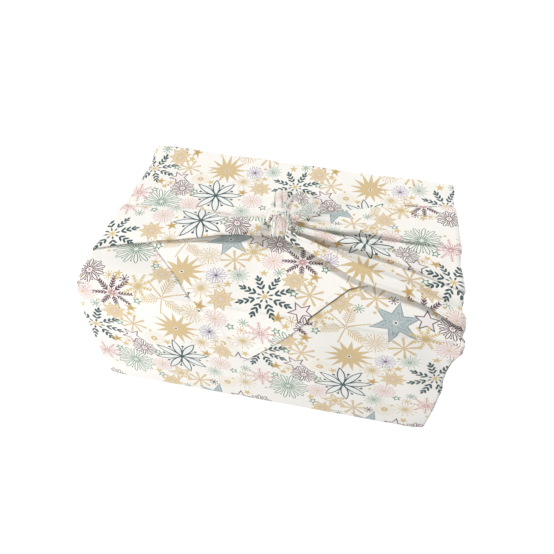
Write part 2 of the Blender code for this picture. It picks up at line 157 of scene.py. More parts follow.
def through(xs, ys, at):
    """Reads a smooth curve through the points (xs, ys), one with no overshoot, at each value of at."""
    order = np.argsort(xs)
    xs = np.asarray(xs, float)[order]
    ys = np.asarray(ys, float)[order]
    gaps = np.diff(xs)
    slopes = np.diff(ys) / gaps
    tangents = np.concatenate([slopes[:1], np.zeros(len(xs) - 2), slopes[-1:]])
    for i in range(1, len(xs) - 1):
        if slopes[i - 1] * slopes[i] > 0:
            tangents[i] = 2 / (1 / slopes[i - 1] + 1 / slopes[i])
    at = np.clip(at, xs[0], xs[-1])
    i = np.clip(np.searchsorted(xs, at) - 1, 0, len(xs) - 2)
    t = (at - xs[i]) / gaps[i]
    start = (2 * t**3 - 3 * t**2 + 1) * ys[i] + (t**3 - 2 * t**2 + t) * gaps[i] * tangents[i]
    end = (3 * t**2 - 2 * t**3) * ys[i + 1] + (t**3 - t**2) * gaps[i] * tangents[i + 1]
    return start + end


def spline(points, steps):
    """A Catmull-Rom curve through points along the first axis, with that many steps from each to the next."""
    points = np.asarray(points, float)
    padded = np.concatenate([[2 * points[0] - points[1]], points, [2 * points[-1] - points[-2]]])
    found = []
    for i in range(1, len(padded) - 2):
        before, a, b, after = padded[i - 1 : i + 3]
        for t in np.arange(steps) / steps:
            found.append(
                a
                + 0.5 * t * (b - before)
                + t**2 * (before - 2.5 * a + 2 * b - 0.5 * after)
                + t**3 * (1.5 * (a - b) + 0.5 * (after - before))
            )
    return np.array(found + [points[-1]])


def unit(vectors):
    """The same directions, each 1 long."""
    return vectors / np.maximum(np.linalg.norm(vectors, axis=-1, keepdims=True), 1e-12)


def paired(first, second):
    """Two rows of numbers side by side. Either may be one number."""
    return np.stack(np.broadcast_arrays(first, second), axis=-1)


def bell(at):
    """1 at 0, falling off softly on both sides."""
    return np.exp(-np.square(at))


def run(points):
    """The distance along a line of points to each of them."""
    return np.concatenate([[0], np.cumsum(np.linalg.norm(np.diff(points, axis=0), axis=1))])


def smooth(low, high, at):
    """0 below low, 1 above high and a soft step between them."""
    t = np.clip((np.asarray(at, float) - low) / (high - low), 0, 1)
    return t * t * (3 - 2 * t)


WAVES = 9  # how many waves make up soft bumps


def waves(points, size, seed):
    """Soft bumps between about -1 and 1, of that size, at each point."""
    chance = random.Random(seed)
    total = 0.0
    for _ in range(WAVES):
        way = np.array([chance.gauss(0, 1) for _ in range(points.shape[-1])])
        way *= 2 * math.pi * chance.uniform(0.6, 1.5) / size / np.linalg.norm(way)
        total = total + np.sin(points @ way + chance.uniform(0, 2 * math.pi))
    return total / math.sqrt(WAVES)


class Path:
    """A line of straight runs with round corners in one plane, read by the distance along it."""

    def __init__(self, corners, radius):
        corners = [np.array(c, float) for c in corners]
        points, arcs = [corners[0]], []
        for before, here, after in zip(corners, corners[1:], corners[2:]):
            back, on = unit(before - here), unit(after - here)
            centre = here + radius * (back + on)
            angles = np.linspace(0, math.pi / 2, ARC_STEPS + 1)
            arc = [centre - radius * (on * math.cos(a) + back * math.sin(a)) for a in angles]
            arcs.append((len(points), len(points) + len(arc) - 1))
            points += arc
        points.append(corners[-1])
        self.points = np.array(points)
        self.along = run(self.points)
        self.corner_at = [(self.along[a] + self.along[b]) / 2 for a, b in arcs]
        self.arc_rows = np.concatenate([self.along[a : b + 1] for a, b in arcs])

    def at(self, distance):
        return np.array([np.interp(distance, self.along, self.points[:, k]) for k in (0, 1)])

    def right(self, distance):
        """The unit vector to the path's right-hand side."""
        near = 0.4 * MM
        way = self.at(min(distance + near, self.along[-1])) - self.at(max(distance - near, 0.0))
        return unit(np.array([way[1], -way[0]]))


def spaced(places, apart, last):
    """Places in order, up to the last, without those that follow another too closely."""
    kept = []
    for place in sorted(min(float(p), last) for p in places):
        if not kept or place - kept[-1] > apart:
            kept.append(place)
    return kept


def from_front(distance):
    return -DEEP / 2 + np.asarray(distance) * MM


# ---------------------------------------------------------------- the cloth as a mesh

BACK_CHART = 0.28  # the size of the inner side's chart in the OFBake map
# Cloth that lies alone over the parcel gets painted shade: its own material darkens its colour.
ALONE_SHADED = 2  # the material's place for cloth that lies alone over the parcel


def on_square(flat):
    """The place on the square cloth, from 0 to 1 along each side, of a place given along its diagonals."""
    a, b = flat[..., 0], flat[..., 1]
    return paired(a + b, b - a) / math.sqrt(2) / CLOTH_SIDE + 0.5


class Cloth:
    """Collects sheets into one mesh. Each face corner keeps its place on the flat cloth and from the hem."""

    def __init__(self):
        self.points, self.sides = [], []
        self.count = 0
        self.charts = 0

    def take(self, points, *sides):
        """Keeps points and the sides made of them: each has its faces, their material and the three maps."""
        for faces, material, *maps in sides:
            self.sides.append((faces + self.count, np.full(len(faces), material), *maps))
        self.points.append(points)
        self.count += len(points)

    def sheet(self, grid, flat, hem=None, alone=None):
        """Cloth, half its thickness on each side of a grid of points. It may lie alone in some rows."""
        grid = np.asarray(grid, float)
        flat = np.asarray(flat, float)
        if hem is None:
            hem = np.full(grid.shape[:2] + (2,), NO_HEM)
        rows, columns = grid.shape[:2]
        alone = np.zeros(rows, int) if alone is None else np.asarray(alone, int)
        normal = unit(np.cross(np.gradient(grid, axis=0), np.gradient(grid, axis=1)))
        if (normal * (grid - [0, 0, TALL / 2])).sum() < 0:
            grid, flat, hem, normal = grid[::-1], flat[::-1], hem[::-1], -normal[::-1]
            alone = alone[::-1]
        half = normal * THICK / 2
        points = np.concatenate([(grid + half).reshape(-1, 3), (grid - half).reshape(-1, 3)])
        index = np.arange(rows * columns).reshape(rows, columns)
        quads = np.stack([index[:-1, :-1], index[1:, :-1], index[1:, 1:], index[:-1, 1:]], axis=-1)
        quads = quads.reshape(-1, 4)
        flat, hem = flat.reshape(-1, 2), np.asarray(hem, float).reshape(-1, 2)
        outer = on_square(flat) * CLOTH_SIDE
        inner = on_square(flat) * BACK_CHART + [1 - BACK_CHART, 0]
        kinds = np.repeat(alone[:-1] * alone[1:], columns - 1) * ALONE_SHADED
        under = quads[:, ::-1]
        rim = np.concatenate([index[0], index[1:, -1], index[-1, -2::-1], index[-2:0:-1, 0]])
        after = np.roll(rim, -1)
        sides = np.stack([rim, after, after + rows * columns, rim + rows * columns], axis=-1)
        way = outer[after] - outer[rim]
        at = np.stack([rim, after, after, rim], axis=-1)
        bake = outer[at]
        bake[:, 2:] += THICK * unit(paired(way[:, 1], -way[:, 0]))[:, None]
        self.take(
            points,
            (quads, kinds, flat[quads], hem[quads], outer[quads]),
            (under + rows * columns, 1, flat[under], hem[under], inner[under]),
            (sides, 0, flat[at], hem[at], bake),
        )

    def tube(self, rings, flat):
        """A closed length of bunched cloth, given as rings of points, with both ends drawn to a point."""
        rings = np.asarray(rings, float)
        count, around = rings.shape[:2]
        points = rings.reshape(-1, 3)
        index = np.arange(count * around).reshape(count, around)
        turned = np.roll(index, -1, axis=1)
        quads = np.stack([index[:-1], turned[:-1], turned[1:], index[1:]], axis=-1).reshape(-1, 4)
        flat = np.asarray(flat, float)  # one more column than the rings, so that the map doesn't fold back
        corners = [flat[:-1, :-1], flat[:-1, 1:], flat[1:, 1:], flat[1:, :-1]]
        maps = np.stack([c.reshape(-1, 2) for c in corners], axis=1)
        a, b, c = (points[quads[:, k]] for k in (0, 1, 2))
        if (a * np.cross(b, c)).sum() < 0:
            quads, maps = quads[:, ::-1], maps[:, ::-1]
        self.charts += 1
        bake = maps - maps.reshape(-1, 2).min(axis=0) + [0.11 * self.charts - 0.08, CLOTH_SIDE + 0.02]
        self.take(points, (quads, 0, maps, np.full(maps.shape, NO_HEM), bake))

    def mesh(self, name, move):
        points = move(np.concatenate(self.points))
        faces, materials, *maps = zip(*self.sides)
        faces = np.concatenate(faces)
        mesh = bpy.data.meshes.new(name)
        mesh.vertices.add(len(points))
        mesh.vertices.foreach_set("co", points.astype(np.float32).ravel())
        mesh.loops.add(faces.size)
        mesh.loops.foreach_set("vertex_index", faces.astype(np.int32).ravel())
        mesh.polygons.add(len(faces))
        mesh.polygons.foreach_set("loop_start", np.arange(0, faces.size, 4, dtype=np.int32))
        for label, values in zip(("Cloth", "Hem", "OFBake"), maps):
            layer = mesh.uv_layers.new(name=label)
            values = np.concatenate([v.reshape(-1, 2) for v in values])
            layer.uv.foreach_set("vector", values.astype(np.float32).ravel())
        mesh.polygons.foreach_set("material_index", np.concatenate(materials).astype(np.int32))
        mesh.polygons.foreach_set("use_smooth", np.ones(len(faces), dtype=bool))
        mesh.update(calc_edges=True)
        mesh.set_sharp_from_angle(angle=math.radians(55))
        return mesh


# ---------------------------------------------------------------- how soft cloth lies

SAG = 0.4 * MM
BULGE = 0.006
FLARE = 2.2 * MM  # how far the foot of the front and back walls spreads
FLARE_UP = 16 * MM
NEAR_WALL = (0.42, 0.5)  # where the top turns into a wall, as a share of the parcel's whole length or depth
SLACK = 0.55 * MM
CRUMPLE = 0.22 * MM
# Soft creases and ridges that all layers share: two ends, how wide, and how far it stands out.
CREASES = (
    # x, front, up to x, front, up: half width, height
    ((-190, 198, 134), (-90, 198, 134), 12, 6.8),
    ((-115, 198, 134), (-15, 198, 134), 12, 5.2),
    ((-40, 198, 134), (60, 198, 134), 12, 3.6),
    ((35, 198, 134), (135, 198, 134), 12, 3.8),
    ((110, 198, 134), (210, 198, 134), 13, 4.2),
    ((158, 6, 133), (158, 48, 133), 13, -2.2),
    ((-320, 0, 132), (320, 0, 132), 9, -1.6),
    ((150, 3, 130), (156, -2, 120), 9, 2.4),
    ((-150, 3, 130), (-156, -2, 122), 9, 2.4),
    ((156, 0, 114), (154, 0, 66), 13, -2.4),
    ((-156, 0, 122), (-154, 0, 14), 16, 3.6),
    ((-180, 26, 132), (-62, 8, 132), 13, 2.2),
    ((60, 3, 132), (155, 1, 128), 6, -0.9),
    ((-150, 0, 118), (-70, 0, 40), 16, 1.0),
    ((-60, 0, 125), (-40, 0, 10), 18, -0.8),
    ((30, 0, 112), (110, 0, 8), 16, 1.0),
    ((60, 0, 126), (140, 0, 96), 9, 0.7),
    ((-175, 62, 133), (-80, 40, 133), 11, -1.4),
    ((-20, 60, 132), (-60, 20, 132), 9, 0.7),
    ((5, 75, 132), (20, 12, 132), 9, 0.8),
    ((-70, 190, 132), (-20, 150, 132), 12, 0.8),
    ((120, 190, 132), (50, 170, 132), 12, -0.7),
    ((-155, 198, 120), (-60, 198, 30), 16, 0.8),
    ((155, 198, 122), (40, 198, 60), 18, -0.8),
    ((0, 198, 120), (60, 198, 8), 15, 0.7),
    ((-49, 95, 143), (-28, 72, 139), 3.6, 1.8),
    ((-62, 92, 139), (-40, 70, 137), 5, -1.2),
    ((-120, 62, 133), (-46, -6, 132), 6, -1.6),
    ((-66, 0, 134), (-34, 0, 86), 6, -1.3),
)


def settled(points):
    """Moves points as soft cloth over a parcel lies: proud here and slack there, and flat below."""
    x, y, z = points.T
    up = np.clip((z - 10 * MM) / (TALL - 10 * MM), 0, 1)
    lean = np.sin(math.pi * up)
    sag = np.clip(1 - (2 * x / LONG) ** 2, 0, 1) * np.clip(1 - (2 * y / DEEP) ** 2, 0, 1)
    moved = points.copy()
    moved[:, 0] += x * BULGE * lean * np.cos(y / (40 * MM))
    moved[:, 1] += y * BULGE * lean * (1 + np.cos(x / (45 * MM) + 0.8))
    moved[:, 2] -= up**2 * SAG * sag
    sideways = smooth(*NEAR_WALL, np.abs(x) / LONG) * np.sign(x)
    forwards = smooth(*NEAR_WALL, np.abs(y) / DEEP) * np.sign(y)
    moved[:, 1] += FLARE * forwards * bell(z / FLARE_UP) * smooth(0.51, 0.45, np.abs(x) / LONG)
    lift = smooth(4 * MM, 30 * MM, z)[:, None]
    outward = np.stack([sideways, forwards, smooth(0.9, 1.0, z / TALL)], axis=1)
    outward /= np.maximum(np.linalg.norm(outward, axis=1, keepdims=True), 1.0)
    moved += lift * outward * SLACK * waves(points, 85 * MM, 3)[:, None]
    moved += lift * outward * CRUMPLE * waves(points, 27 * MM, 5)[:, None]
    for start, end, wide, height in CREASES:
        start, end = (np.array([p[0] * MM, from_front(p[1]), p[2] * MM]) for p in (start, end))
        span = end - start
        share = ((points - start) @ span) / (span @ span)
        near = start + np.clip(share, 0, 1)[:, None] * span
        away = np.linalg.norm(points - near, axis=1)
        weight = bell(away / (wide * MM)) * smooth(0, 0.25, share) * smooth(0, 0.25, 1 - share)
        moved += lift * outward * (height * MM * weight)[:, None]
    return moved


# ---------------------------------------------------------------- front-to-back cloth

ROUND_PARCEL = Path(
    [
        (BACK - STEP, TOP - STEP - TUCKED_DOWN),
        (BACK - STEP, TOP - STEP),
        (FRONT, TOP - STEP),
        (FRONT, FLOOR),
        (BACK, FLOOR),
        (BACK, TOP),
        (FRONT - STEP, TOP),
        (FRONT - STEP, TOP - HANGING),
    ],
    EDGE_RADIUS,
)
FRONT_FOOT, BACK_FOOT = ROUND_PARCEL.corner_at[2:4]
MIDDLE = (FRONT_FOOT + BACK_FOOT) / 2
COLUMN_AT = (0, 0.7, 2.0, 3.6, 4.4, 5.0, 6.5, 9.0)  # distances in from a hem, in millimetres
COLUMNS = 44
HEMS_OUT = (0.5 * MM, 0.5 * MM)  # how far the left and the right hem of the last corner stand off in front
HEM_SPREAD = 20 * MM
HEM_SLANT = 0.76  # how far a place is from a slanting hem, for each step along its row


def over_hems(distance):
    """The left and right hem of the last corner at a distance from the front top edge."""
    places, *hems = np.transpose(FLAP_HEMS[::-1]) * MM
    return [np.interp(distance, places, hem) for hem in hems]


def under_hems(distance):
    half = max(HALF_DIAGONAL - DEEP / 2 - TALL - distance, 4 * MM)
    return [-half, half]


def hem_profile(from_hem):
    """How much a turned and stitched hem stands up, by the distance from the edge."""
    body = 1 - smooth(HEM_WIDE, HEM_WIDE + 1.2 * MM, from_hem)
    seam = bell((from_hem - HEM_WIDE + STITCH_IN) / (0.5 * MM))
    return HEM_THICK * (body - 0.45 * seam)


def wrapped_cloth(cloth):
    """The cloth from the tip tucked in behind, over the top, round below and over the top again."""
    front_under = ROUND_PARCEL.corner_at[1]
    back_over, front_over = ROUND_PARCEL.corner_at[4:6]
    last = ROUND_PARCEL.along[-1]
    rows = {*ROUND_PARCEL.arc_rows, 0.0, last}
    rows |= {front_over - row[0] * MM for row in FLAP_HEMS[1:]}
    rows |= set(np.arange(8 * MM, front_under, 6 * MM))
    rows |= set(np.arange(front_under, FRONT_FOOT, 4.5 * MM))
    rows |= set(np.arange(FRONT_FOOT, back_over, 9 * MM))
    rows |= set(np.arange(back_over, last, 4 * MM)) | {last - 1.2 * MM, last - 2.6 * MM}
    grid, flat, hem, alone = [], [], [], []
    wide = FLAT_HALF + THICK
    for distance in spaced(rows, 0.35 * MM, last):
        at, right = ROUND_PARCEL.at(distance), ROUND_PARCEL.right(distance)
        hems, tip = (-wide, wide), NO_HEM
        if distance < front_under:
            hems, tip = under_hems(front_under - distance), distance
        if distance > back_over:
            hems, tip = over_hems(front_over - distance), last - distance
        ends = np.clip(hems, -wide, wide)
        span = ends[1] - ends[0]
        inset = np.minimum(np.array(COLUMN_AT) * MM * 1.3, span * 0.48 * np.array(COLUMN_AT) / COLUMN_AT[-1])
        inner = np.linspace(ends[0] + inset[-1], ends[1] - inset[-1], COLUMNS)[1:-1]
        x = np.concatenate([ends[0] + inset, inner, ends[1] - inset[::-1]])
        away = np.full(len(x), tip)
        for hem_at, inward in zip(hems, (1, -1)):
            if abs(hem_at) < wide:
                away = np.minimum(away, (x - hem_at) * inward * HEM_SLANT)
        lift = hem_profile(away)
        if distance > back_over:
            shown = smooth(front_over - 66 * MM, front_over - 40 * MM, distance)
            loose = np.exp(-away / (9 * MM)) * shown
            lift = lift + loose * (0.2 * MM + 0.25 * MM * np.sin(distance / (11 * MM) + x / (17 * MM)))
            hanging = smooth(front_over - 34 * MM, front_over + 30 * MM, distance)
            for hem_at, out in zip(ends, HEMS_OUT):
                lift = lift + out * hanging * np.exp(-np.abs(x - hem_at) / HEM_SPREAD)
        line = np.empty((len(x), 3))
        line[:, 0] = x
        line[:, 1:] = at + right * lift[:, None]
        grid.append(line)
        flat.append(paired(x, distance - MIDDLE))
        hem.append(paired(away, distance))
        # Rows up to the front foot lie in one layer and get the painted shade.
        alone.append(distance < FRONT_FOOT)
    cloth.sheet(grid, flat, hem, alone=alone)


def corner_gusset(cloth, side, face):
    """The wall's cloth round one upright corner and on across the end, under the tail."""
    axis_y = BACK - EDGE_RADIUS
    low, high = FLOOR + EDGE_RADIUS, TOP - STEP - EDGE_RADIUS
    tilts = np.linspace(0, math.pi / 2, ARC_STEPS + 1)
    rows = [(tilt, low, -1) for tilt in tilts[-2::-1]]
    rows += [(0.0, z, 1) for z in np.linspace(low, high, 18)[1:]]
    rows += [(tilt, high, 1) for tilt in tilts[1:-1]]
    grid, flat = [], []
    for tilt, z, way in rows:
        reach = EDGE_RADIUS * math.cos(tilt) - LAP_SHIFT
        height = z + way * (EDGE_RADIUS - LAP_SHIFT) * math.sin(tilt)
        across = min(max(height - low, 0.0) + END_LAP, axis_y - GUSSETS_APART / 2)
        line = [(FLAT_HALF - LAP, axis_y + reach)]
        for angle in tilts:
            line.append((FLAT_HALF + reach * math.sin(angle), axis_y + reach * math.cos(angle)))
        for share in np.linspace(0, 1, 14)[1:]:
            line.append((FLAT_HALF + reach, axis_y - share * across))
        grid.append([(side * x, face * y, height) for x, y in line])
        reached = DEEP / 2 + height + EDGE_RADIUS * tilt * way
        flat.append(paired(side * (FLAT_HALF - LAP + run(line)), face * reached))
    cloth.sheet(grid, flat)


def flap_side(cloth, side, wall, height):
    """A flap's side, hanging over the end. Its wall is 1 for the back flap and -1 for the front one."""
    places, drops = np.transpose(FLAP_SIDE)
    fine = np.unique(np.concatenate([np.arange(places[0], places[-1], 4.0), places]))
    grid, flat, hem = [], [], []
    for from_wall in fine:
        hanging = np.interp(from_wall, places, drops) * MM
        radius = END_TURN - FLAT_HALF
        line = [(FLAT_HALF - LAP, height - LAP_SHIFT)]
        for angle in np.linspace(0, min(1.0, hanging / radius) * math.pi / 2, ARC_STEPS + 1):
            x = FLAT_HALF + radius * math.sin(angle)
            line.append((x, height - LAP_SHIFT - radius * (1 - math.cos(angle))))
        x, z = line[-1]
        down = max(hanging - radius, 0.6 * MM)
        line += [(x, z - share * down) for share in (0.2, 0.4, 0.6, 0.8, 0.92, 1.0)]
        along = run(line)
        grid.append([(side * x, wall * (DEEP / 2 - from_wall * MM), z) for x, z in line])
        reached = wall * (DEEP / 2 + TALL + from_wall * MM)
        flat.append(paired(side * (FLAT_HALF - LAP + along), reached))
        hemmed = from_wall > FLAP_SIDE[3][0]
        hem.append(paired((along[-1] - along) * 0.7 if hemmed else 0 * along + NO_HEM, reached))
    cloth.sheet(grid, flat, hem)


# ---------------------------------------------------------------- side-to-side cloth

OVER_END = Path(
    [
        (0, TOP),
        (END_TURN, TOP),
        (END_TURN, FLOOR + LAP_SHIFT + 2 * STEP),
        (FLAT_HALF - LAP, FLOOR + LAP_SHIFT + 2 * STEP),
    ],
    EDGE_RADIUS,
)
EDGE_AT, FOOT_AT = OVER_END.corner_at
END_RUN = OVER_END.along[-1]
FINE = 7  # steps of a tail's section from one fold's row to the next


def down_share(distance):
    """0 on the top, growing to 1 at the foot of the end."""
    return float(np.clip((distance - EDGE_AT) / (FOOT_AT - EDGE_AT), 0, 1))


def turned_edge(edge, inward, low, high):
    """Points round an edge that is turned under, from the layer below to the layer above."""
    rise = (high - low) / 2
    depth = max(rise, STEP / 2) / MM
    angles = np.linspace(-math.pi / 2, math.pi / 2, ARC_STEPS + 1)
    return paired(edge + inward * depth * (1 - np.cos(angles)), low + rise * (1 + np.sin(angles)))


def folded_section(front_under, front_edge, panel, back_edge, back_under):
    """A tail across: turned under in front, a smooth panel over it, turned under behind."""
    front_edge = turned_edge(front_edge[0], 1, *front_edge[1:])
    back_edge = turned_edge(back_edge[0], -1, *back_edge[1:])[::-1]
    over = spline([front_edge[-1], *panel, back_edge[0]], FINE)
    under_front = np.linspace(front_under, front_edge[0], 4)[:-1]
    under_back = np.linspace(back_edge[-1], back_under, 4)[1:]
    return np.concatenate([under_front, front_edge[:-1], over, back_edge[1:], under_back])


def band_section(distance):
    """The left tail across: turned under at both edges, crowned between."""
    share = down_share(distance)
    places, *columns = np.transpose(BAND)
    front, back, crown, raised = (float(through(places, column, distance / MM)) for column in columns)
    blend = float(smooth(EDGE_AT - 8 * MM, EDGE_AT, distance))
    front = front * (1 - blend) + blend * (BAND_AT_EDGE[0] * (1 - share) + FOOT_IN / MM * share)
    back = back * (1 - blend) + blend * (BAND_AT_EDGE[1] * (1 - share) + (DEEP - FOOT_IN) / MM * share)
    crown, raised = crown * MM * (1 - share), raised * MM * (1 - share)
    tuck = TUCK / MM * (1 - (1 - TUCK_LEFT) * share)
    middle = (front + back) / 2
    quarter = (back - front) / 4
    section = folded_section(
        (front + tuck, STEP + 0.3 * raised),
        (front, STEP + 0.7 * raised, 2 * STEP + raised),
        [
            (middle - quarter, 2 * STEP + 0.5 * raised + 0.75 * crown),
            (middle, 2 * STEP + 0.25 * raised + crown),
            (middle + quarter, 2 * STEP + 0.75 * crown),
        ],
        (back, STEP, 2 * STEP + 0.1 * crown),
        (back - tuck, STEP),
    )
    return pleated(section, front, back, distance, BAND_GATHERS)


def fan_section(distance):
    """The right tail across: pleats between the rolled edge in front and the hem behind."""
    share = down_share(distance)
    relief = float(through(FAN_PLACES, FAN_RELIEF, distance / MM)) * MM * (1 - share) ** 3
    folds = {}
    for name, height, *fronts in FAN_FOLDS:
        front = float(through(FAN_PLACES, fronts[:-1], distance / MM))
        front = front * (1 - share) + fronts[-1] * share
        folds[name] = (front, height * relief)
    panel = [
        (front, 2 * STEP + rise)
        for name, (front, rise) in folds.items()
        if name not in ("hem turned under", "hem", "rolled edge", "rolled under")
    ]
    rolled, hem = folds["rolled edge"], folds["hem"]
    section = folded_section(
        (folds["rolled under"][0], STEP),
        (rolled[0], STEP, 2 * STEP + rolled[1]),
        panel[::-1],
        (hem[0], STEP, 2 * STEP + hem[1]),
        (folds["hem turned under"][0], STEP),
    )
    return pleated(section, rolled[0], hem[0], distance, FAN_GATHERS)


# Gathers that run out from the knot: where across the tail, how wide as a share of it, how high at the knot,
# and how far out they reach.
BAND_GATHERS = (
    # across, half width, height, reach
    (0.10, 0.050, 1.1, 30),
    (0.22, 0.045, -1.3, 42),
    (0.34, 0.050, 1.3, 26),
    (0.47, 0.045, -1.4, 34),
    (0.58, 0.045, 1.2, 50),
    (0.70, 0.045, -1.2, 30),
    (0.82, 0.045, 1.0, 44),
    (0.92, 0.040, -0.9, 24),
    (0.36, 0.070, -0.7, 95),
    (0.66, 0.060, 0.6, 120),
)
FAN_GATHERS = (
    (0.44, 0.018, 1.2, 30),
    (0.50, 0.020, -1.4, 38),
    (0.56, 0.018, 1.3, 30),
    (0.62, 0.020, -1.4, 46),
    (0.68, 0.018, 1.3, 34),
    (0.74, 0.020, -1.3, 42),
    (0.80, 0.018, 1.2, 30),
    (0.86, 0.020, -1.1, 48),
    (0.92, 0.018, 1.0, 34),
    (0.32, 0.020, 0.8, 60),
    (0.25, 0.016, -0.8, 52),
    (0.12, 0.022, -0.7, 70),
    (0.72, 0.035, -0.7, 150),
    (0.84, 0.030, 0.6, 130),
    (0.79, 0.018, 0.9, 100),
    (0.52, 0.022, 1.1, 150),
    (0.47, 0.020, -0.8, 130),
    (0.28, 0.020, 0.7, 130),
)


def pleated(section, front, back, distance, gathers):
    """Adds the gathers to a tail's section, on the layer above only."""
    section = np.array(section, float)
    across = (section[:, 0] - front) / (back - front)
    upper = smooth(1.35 * STEP, 2 * STEP, section[:, 1])
    inside = smooth(0.0, 0.06, across) * smooth(0.0, 0.06, 1 - across)
    for place, half, height, reach in gathers:
        fade = bell(distance / MM / reach)
        section[:, 1] += upper * inside * height * MM * fade * bell((across - place) / half)
    return section


def tail(cloth, section, side, first):
    """One side corner of the cloth, from the knot over the edge and down to the lap under the floor."""
    rows = {*OVER_END.arc_rows, first, END_RUN}
    rows |= set(first + np.arange(0, 30) * 1.3 * MM) | set(np.arange(first + 39 * MM, EDGE_AT, 3 * MM))
    rows |= set(np.arange(EDGE_AT, FOOT_AT, 5 * MM))
    grid, flat = [], []
    for distance in [d for d in spaced(rows, 0.6 * MM, END_RUN) if d >= first]:
        across = section(distance)
        at, right = OVER_END.at(distance), OVER_END.right(distance)
        line = np.empty((len(across), 3))
        line[:, (0, 2)] = at - right * across[:, 1:]
        line[:, 0] *= side
        line[:, 1] = from_front(across[:, 0])
        grid.append(line)
        along = run(across * [MM, 1])
        shown = slice(ARC_STEPS, -ARC_STEPS)
        centre = np.interp(TAIL_CENTRE, across[shown, 0], along[shown])
        reached = LONG / 2 + TALL + LONG / 2 - distance
        flat.append(paired(side * reached, along - centre))
    cloth.sheet(grid, flat)


TAIL_CENTRE = 92  # the front distance at which the tails' middle line crosses, so that the print runs on

# ---------------------------------------------------------------- knot

STRANDS = {
    # how many pleats and where its middle lies on the flat cloth, then rows of x, distance from the front,
    # height over the top, half width and half thickness
    "wrapped round": (7, (-44.9, -0.4), (
        (-1.0, 97.0, 2.0, 6.5, 1.6),
        (-1.0, 90.5, 2.5, 8.2, 2.2),
        (-1.0, 87.8, 5.0, 8.8, 2.6),
        (-1.0, 87.4, 10.0, 8.4, 2.8),
        (-1.2, 89.5, 15.0, 8.0, 3.0),
        (-1.4, 94.0, 18.6, 7.6, 3.0),
        (-1.6, 99.5, 20.0, 7.2, 2.8),
        (-1.8, 104.5, 17.5, 6.8, 2.4),
        (-2.0, 107.0, 11.0, 6.2, 2.0),
        (-2.0, 105.0, 3.0, 5.6, 1.6),
    )),
    "crossed over": (4, (4, 31), (
        (-9.5, 97.0, 3.0, 3.0, 1.6),
        (-11.5, 97.0, 9.0, 3.6, 2.2),
        (-12.4, 96.5, 15.0, 4.0, 2.6),
        (-10.0, 96.5, 20.6, 4.4, 2.8),
        (-4.0, 97.0, 22.6, 4.6, 2.6),
        (2.0, 95.5, 21.6, 3.8, 2.4),
        (6.2, 92.0, 17.6, 2.8, 2.0),
        (7.8, 89.0, 11.5, 2.2, 1.6),
        (7.4, 89.0, 4.0, 1.8, 1.2),
    )),
    "core": (4, (4, 31), (
        (-10.0, 96.0, 7.0, 3.0, 3.0),
        (-7.0, 96.0, 8.5, 7.0, 6.5),
        (-1.0, 96.0, 9.0, 8.5, 8.0),
        (4.0, 96.0, 9.0, 7.5, 7.0),
        (8.0, 95.0, 8.0, 4.0, 4.5),
    )),
}
STRAND_AROUND = 72


def strand(cloth, pleats, middle, rows, seed):
    """A bunched length of cloth swept along its line, with folds that run along it."""
    rows = spline(rows, 7)
    chance = random.Random(seed)
    line = np.stack([rows[:, 0] * MM, from_front(rows[:, 1]), TOP + rows[:, 2] * MM], axis=-1)
    way = unit(np.gradient(line, axis=0))
    up = line - [-2 * MM, from_front(95), TOP + 8 * MM]
    up = unit(up - (up * way).sum(axis=1, keepdims=True) * way)
    across = np.cross(way, up)
    angles = np.linspace(0, 2 * math.pi, STRAND_AROUND, endpoint=False)
    folds = [(chance.uniform(-0.35, 0.35), chance.uniform(0.6, 1.2)) for _ in range(pleats)]
    u = np.sign(np.cos(angles)) * np.abs(np.cos(angles)) ** 0.7
    v = np.sign(np.sin(angles)) * np.abs(np.sin(angles)) ** 0.6
    rings, flat = [], []
    length = run(line)
    for k in range(len(rows)):
        wide, thick = rows[k, 3] * MM, rows[k, 4] * MM
        share = k / (len(rows) - 1)
        groove = np.zeros(STRAND_AROUND)
        for n, (shift, strength) in enumerate(folds):
            place = -1 + 2 * (n + 0.5 + shift) / pleats + 0.10 * math.sin(3.1 * share + n)
            groove -= strength * bell((u - place) / (0.30 / pleats))
            groove += 0.5 * strength * bell((u - place - 1.1 / pleats) / (0.5 / pleats))
        deep = 1.25 * MM * (0.7 + 0.3 * math.sin(5 * share + seed))
        offset = v * (thick + deep * groove * np.abs(np.sin(angles)))
        rings.append(line[k] + np.outer(u * wide, across[k]) + np.outer(offset, up[k]))
        around = np.linspace(-0.25, 0.75, STRAND_AROUND + 1) * 5.7 * (wide + thick)
        reached = 0.9 * (length[k] - 0.38 * length[-1])
        flat.append(paired(middle[0] * MM + reached, middle[1] * MM + around))
    for end in (0, -1):
        point_at = rings[end].mean(axis=0)
        rings[end] = point_at + (rings[end] - point_at) * 0.04
    cloth.tube(rings, flat)


def free_tip(cloth, rows, side, seed):
    """A short corner of the cloth past the knot, with its folds running out to the point."""
    rows = np.array([[(x * MM, from_front(f), TOP + up * MM) for x, f, up in row] for row in rows])
    rows = spline(rows, 9)
    grid = spline(rows.transpose(1, 0, 2), 9).transpose(1, 0, 2)
    count, across = grid.shape[:2]
    u = np.linspace(0, 1, across)
    for k in range(count):
        share = k / (count - 1)
        ripple = 0.7 * MM * (1 - share) ** 1.5 * np.sin(2 * math.pi * 5.5 * u + seed)
        ripple += 0.35 * MM * np.sin(2 * math.pi * 2.5 * u + 2.5 * share + seed) * share
        grid[k, :, 2] += ripple
    along = np.linalg.norm(np.diff(grid, axis=0), axis=2).mean(axis=1)
    along = np.concatenate([[0], np.cumsum(along)])
    flat, hem = [], []
    for line, reached in zip(grid, along):
        wide = run(line)
        flat.append(paired(side * (HALF_DIAGONAL - along[-1] + reached - 4 * MM), wide - wide[-1] / 2))
        edge = np.minimum(wide, wide[-1] - wide)
        hem.append(paired(np.minimum(edge * 0.9, along[-1] - reached), reached))
    cloth.sheet(grid, flat, hem)


# ---------------------------------------------------------------- the print

